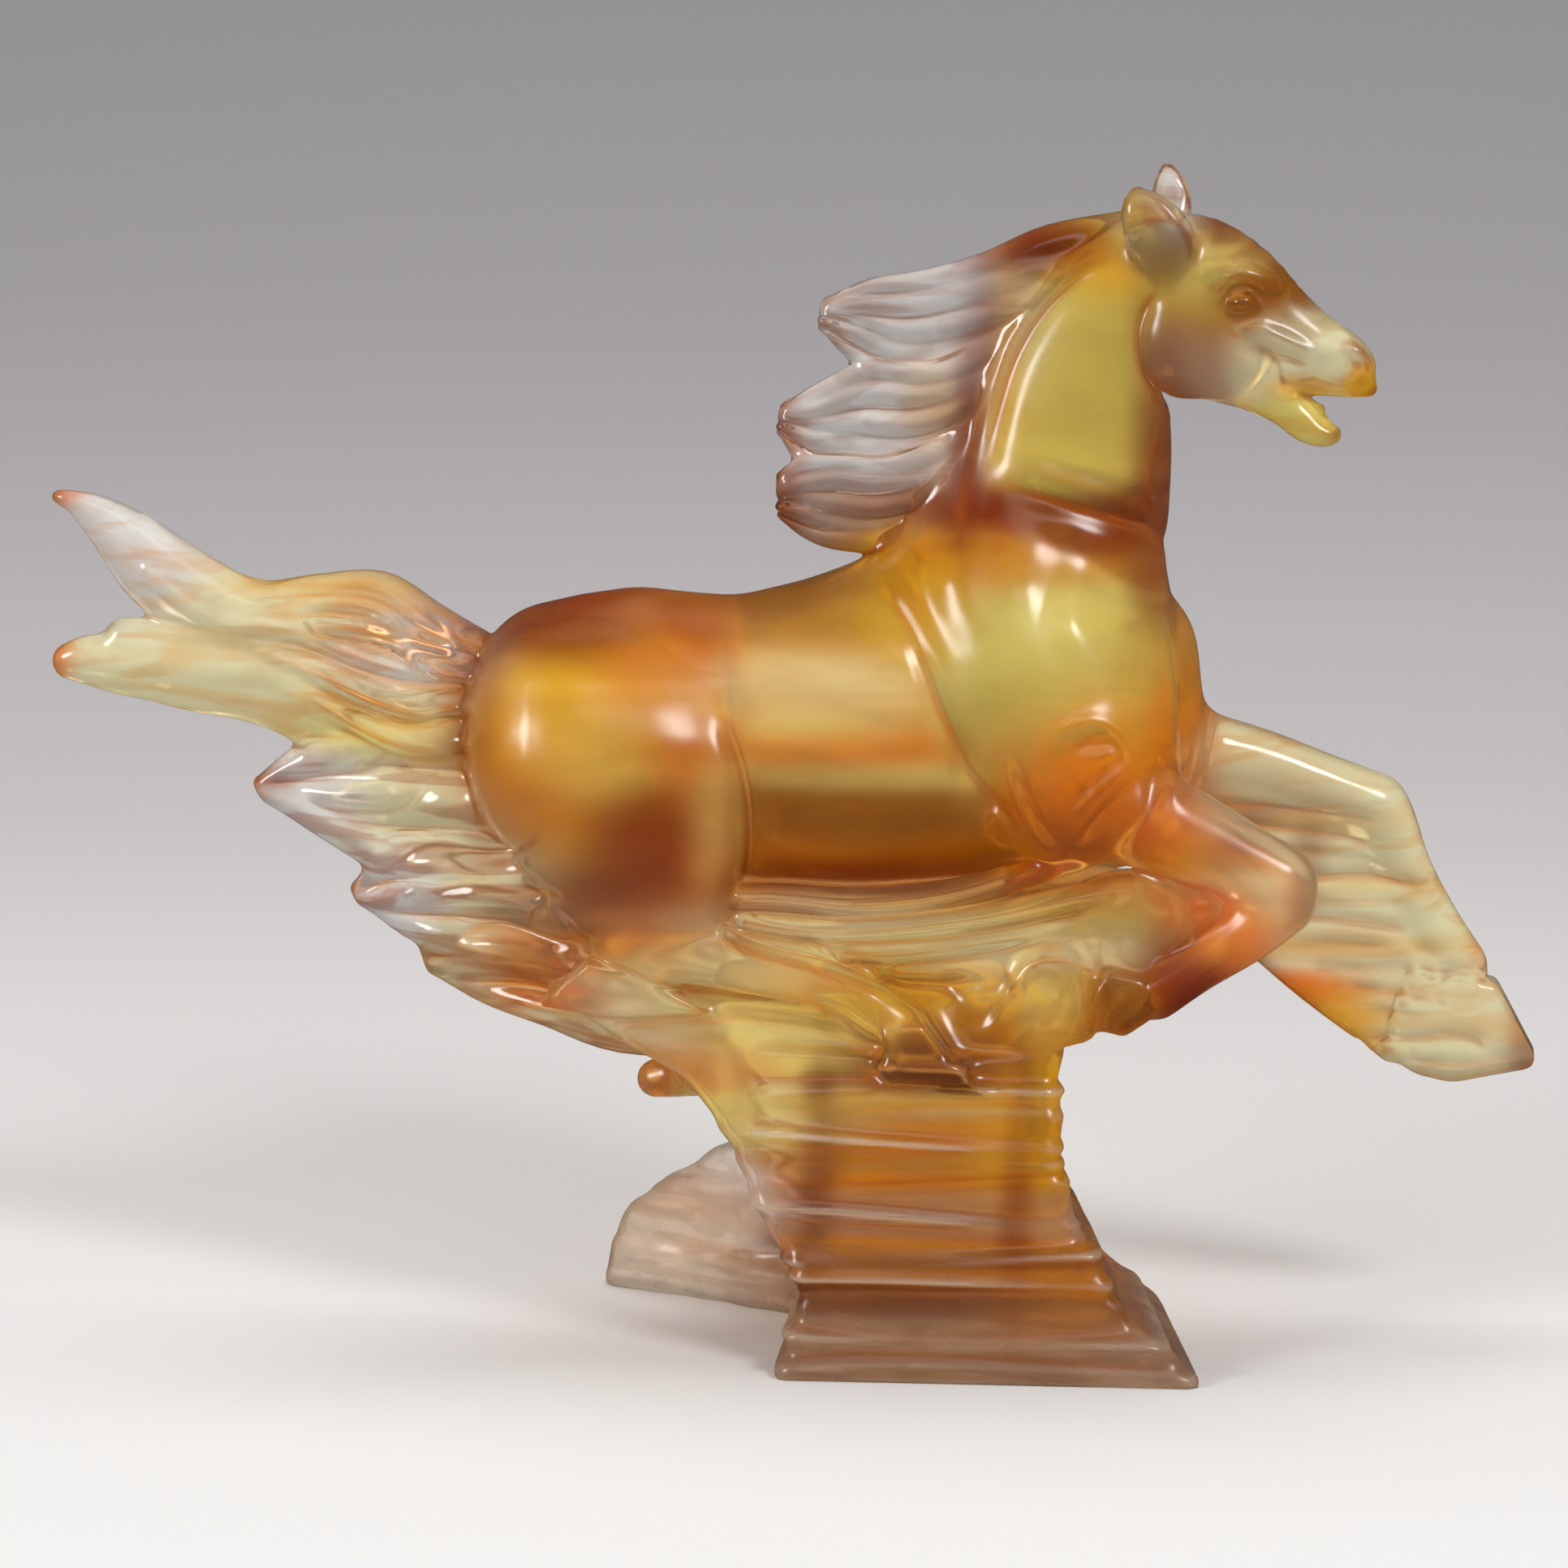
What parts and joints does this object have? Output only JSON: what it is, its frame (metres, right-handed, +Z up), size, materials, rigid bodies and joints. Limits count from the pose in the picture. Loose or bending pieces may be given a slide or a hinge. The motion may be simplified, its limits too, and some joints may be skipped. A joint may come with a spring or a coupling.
{
  "type": "glass horse figurine",
  "caption": "Galloping horse with streaming mane and tail, borne on a breaking wave over a layered rock plinth, cast in satin crystal glass graded from amber to clear.",
  "frame": {"origin": "middle of the figure's outline seen from above, on the table", "axes": "+X from the tail to the head, +Z up, the near side (the one usually shown) faces -Y"},
  "size_m": [0.2777, 0.08, 0.2189],
  "materials": {
    "amber_glass": "satin",
    "honey_glass": "satin",
    "olive_glass": "satin",
    "umber_glass": "satin",
    "clear_glass": "satin",
    "lemon_glass": "satin",
    "tip_glass": "satin",
    "smoky_glass": "satin"
  },
  "bodies": {
    "root": {"barrel": "honey_glass", "near_haunch": "amber_glass", "far_haunch": "amber_glass", "near_shoulder": "olive_glass", "far_shoulder": "olive_glass", "neck": "olive_glass", "skull": "olive_glass", "lower_jaw": "lemon_glass", "near_ear": "umber_glass", "far_ear": "clear_glass", "near_eye": "umber_glass", "far_eye": "umber_glass", "mane_upper_lock": "clear_glass", "mane_middle_lock": "clear_glass", "mane_lower_lock": "clear_glass", "tail_upper_lock": "lemon_glass", "tail_middle_lock": "lemon_glass", "tail_lower_lock": "lemon_glass", "near_hind_shank": "amber_glass", "near_hind_hoof": "umber_glass", "far_hind_shank": "amber_glass", "far_hind_hoof": "honey_glass", "near_forearm": "amber_glass", "near_fore_cannon": "amber_glass", "near_fore_hoof": "umber_glass", "far_forearm": "lemon_glass", "far_fore_cannon": "lemon_glass", "far_fore_hoof": "lemon_glass", "spray_sheet": "lemon_glass", "wave_crest": "honey_glass", "wave_belly": "honey_glass", "wave_tip_upper": "tip_glass", "wave_tip_middle": "tip_glass", "wave_tip_lower": "tip_glass", "wave_tip_hock": "honey_glass", "wave_tip_small": "umber_glass", "rock_column": "honey_glass", "rock_plinth": "smoky_glass", "rock_wing": "smoky_glass"}
  },
  "joints": []
}
